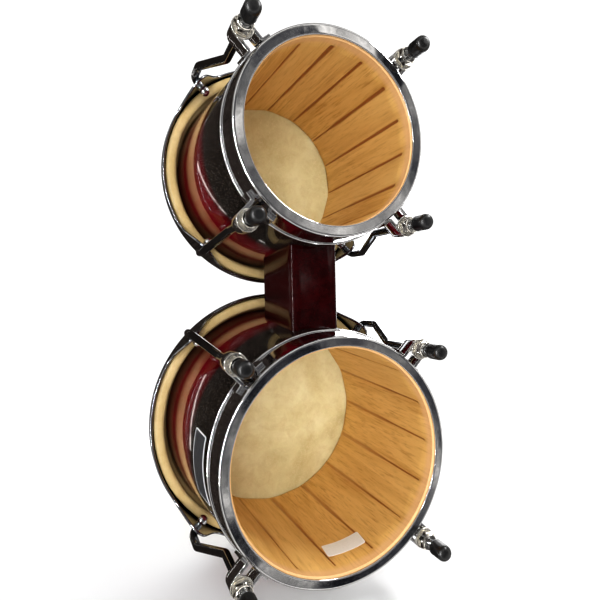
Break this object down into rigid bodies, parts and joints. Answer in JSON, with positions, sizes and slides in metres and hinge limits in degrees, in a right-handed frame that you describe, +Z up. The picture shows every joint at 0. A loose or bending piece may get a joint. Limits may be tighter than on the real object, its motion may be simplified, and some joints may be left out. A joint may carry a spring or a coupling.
{
  "type": "bongo drums",
  "caption": "Pair of joined hand drums: tapered stave shells in gloss lacquer, open at the bottom, rawhide heads pulled down by chrome hoops and hooked tuning rods.",
  "frame": {"origin": "on the floor, under the middle of the overall length and width", "axes": "+Z up with the drum heads facing up, +X from the large drum to the small drum"},
  "size_m": [0.4696, 0.247, 0.1824],
  "materials": {
    "red_lacquer": "high gloss burgundy lacquer over stave wood",
    "bright_chrome": "bright chrome plate",
    "dark_chrome": "polished dark chrome plate",
    "rawhide": "natural mottled rawhide",
    "black_rubber": "soft black rubber",
    "label_paper": "blank paper label",
    "zinc_steel": "zinc plated steel"
  },
  "bodies": {
    "shells": {"shell_large": "red_lacquer", "bottom_ring_large": "bright_chrome", "lugs_large": "bright_chrome", "lug_washers_large": "bright_chrome", "skin_large": "rawhide", "backing_plate_large": "zinc_steel", "block_bolts_large": "zinc_steel", "shell_small": "red_lacquer", "bottom_ring_small": "bright_chrome", "lugs_small": "bright_chrome", "lug_washers_small": "bright_chrome", "skin_small": "rawhide", "backing_plate_small": "zinc_steel", "block_bolts_small": "zinc_steel", "centre_block": "red_lacquer", "inner_label": "label_paper", "outer_label": "label_paper"},
    "hoop_large": {"counterhoop_large": "dark_chrome", "flesh_hoop_large": "rawhide", "rods_large": "bright_chrome", "rod_balls_large": "bright_chrome", "rubber_tips_large": "black_rubber"},
    "hoop_small": {"counterhoop_small": "dark_chrome", "flesh_hoop_small": "rawhide", "rods_small": "bright_chrome", "rod_balls_small": "bright_chrome", "rubber_tips_small": "black_rubber"},
    "nut_large_1": {"nut_large_1": "bright_chrome"},
    "nut_large_2": {"nut_large_2": "bright_chrome"},
    "nut_large_3": {"nut_large_3": "bright_chrome"},
    "nut_large_4": {"nut_large_4": "bright_chrome"},
    "nut_small_1": {"nut_small_1": "bright_chrome"},
    "nut_small_2": {"nut_small_2": "bright_chrome"},
    "nut_small_3": {"nut_small_3": "bright_chrome"},
    "nut_small_4": {"nut_small_4": "bright_chrome"}
  },
  "joints": [
    {"name": "tuning_large", "type": "slide", "parent": "shells", "child": "hoop_large", "axis": [0, 0, 1], "range_m": [-0.004, 0]},
    {"name": "tuning_small", "type": "slide", "parent": "shells", "child": "hoop_small", "axis": [0, 0, 1], "range_m": [-0.004, 0]},
    {"name": "nut_large_1_turn", "type": "hinge", "parent": "shells", "child": "nut_large_1", "pos_m": [-0.03486, 0.07644, 0.024], "axis": [0, 0, 1], "range_deg": [0, 1155]},
    {"name": "nut_large_2_turn", "type": "hinge", "parent": "shells", "child": "nut_large_2", "pos_m": [-0.18774, 0.07644, 0.024], "axis": [0, 0, 1], "range_deg": [0, 1155]},
    {"name": "nut_large_3_turn", "type": "hinge", "parent": "shells", "child": "nut_large_3", "pos_m": [-0.18774, -0.07644, 0.024], "axis": [0, 0, 1], "range_deg": [0, 1155]},
    {"name": "nut_large_4_turn", "type": "hinge", "parent": "shells", "child": "nut_large_4", "pos_m": [-0.03486, -0.07644, 0.024], "axis": [0, 0, 1], "range_deg": [0, 1155]},
    {"name": "nut_small_1_turn", "type": "hinge", "parent": "shells", "child": "nut_small_1", "pos_m": [0.19425, 0.06555, 0.024], "axis": [0, 0, 1], "range_deg": [0, 1155]},
    {"name": "nut_small_2_turn", "type": "hinge", "parent": "shells", "child": "nut_small_2", "pos_m": [0.06315, 0.06555, 0.024], "axis": [0, 0, 1], "range_deg": [0, 1155]},
    {"name": "nut_small_3_turn", "type": "hinge", "parent": "shells", "child": "nut_small_3", "pos_m": [0.06315, -0.06555, 0.024], "axis": [0, 0, 1], "range_deg": [0, 1155]},
    {"name": "nut_small_4_turn", "type": "hinge", "parent": "shells", "child": "nut_small_4", "pos_m": [0.19425, -0.06555, 0.024], "axis": [0, 0, 1], "range_deg": [0, 1155]}
  ],
  "couplings": [
    {"joint": "nut_large_1_turn", "follows": "tuning_large", "rad_per_m": -5026.5},
    {"joint": "nut_large_2_turn", "follows": "tuning_large", "rad_per_m": -5026.5},
    {"joint": "nut_large_3_turn", "follows": "tuning_large", "rad_per_m": -5026.5},
    {"joint": "nut_large_4_turn", "follows": "tuning_large", "rad_per_m": -5026.5},
    {"joint": "nut_small_1_turn", "follows": "tuning_small", "rad_per_m": -5026.5},
    {"joint": "nut_small_2_turn", "follows": "tuning_small", "rad_per_m": -5026.5},
    {"joint": "nut_small_3_turn", "follows": "tuning_small", "rad_per_m": -5026.5},
    {"joint": "nut_small_4_turn", "follows": "tuning_small", "rad_per_m": -5026.5}
  ]
}
